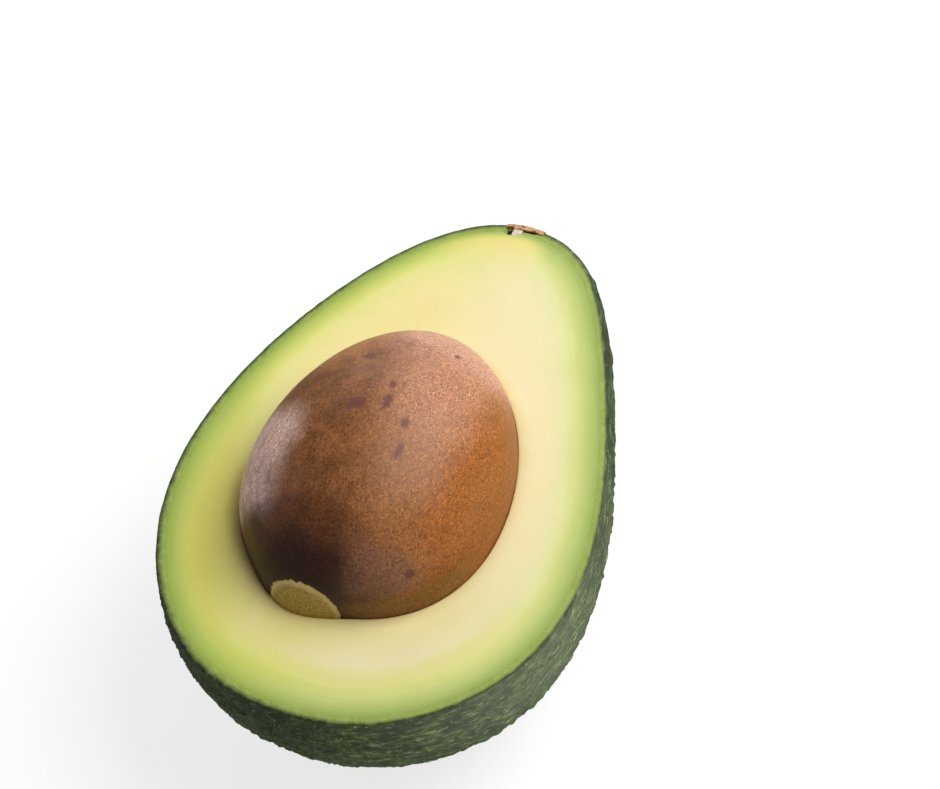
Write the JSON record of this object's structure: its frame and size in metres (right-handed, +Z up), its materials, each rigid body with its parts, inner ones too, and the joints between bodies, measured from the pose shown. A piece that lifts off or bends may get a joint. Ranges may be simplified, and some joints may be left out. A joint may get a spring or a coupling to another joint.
{
  "type": "avocado half",
  "caption": "Ripe avocado half cut lengthwise, lying on its back with the cut face level and the brown stone still seated in the pale green flesh, inside a dark pebbly peel.",
  "frame": {"origin": "on the surface it rests on, below the middle of the whole fruit's length, midway across its width", "axes": "+X along the fruit towards the stem end, +Z up out of the level cut face, +Y to the left looking from the round end to the stem"},
  "size_m": [0.102, 0.0749, 0.0603],
  "materials": {
    "peel": "waxy pebbled rind, semi-gloss",
    "flesh": "smooth moist cut flesh, satin",
    "stone": "thin fibrous seed coat, satin",
    "stem_scar": "dry corky wood, matte"
  },
  "bodies": {
    "root": {"peel": "peel", "flesh": "flesh", "stone": "stone", "stem_scar": "stem_scar"}
  },
  "joints": []
}
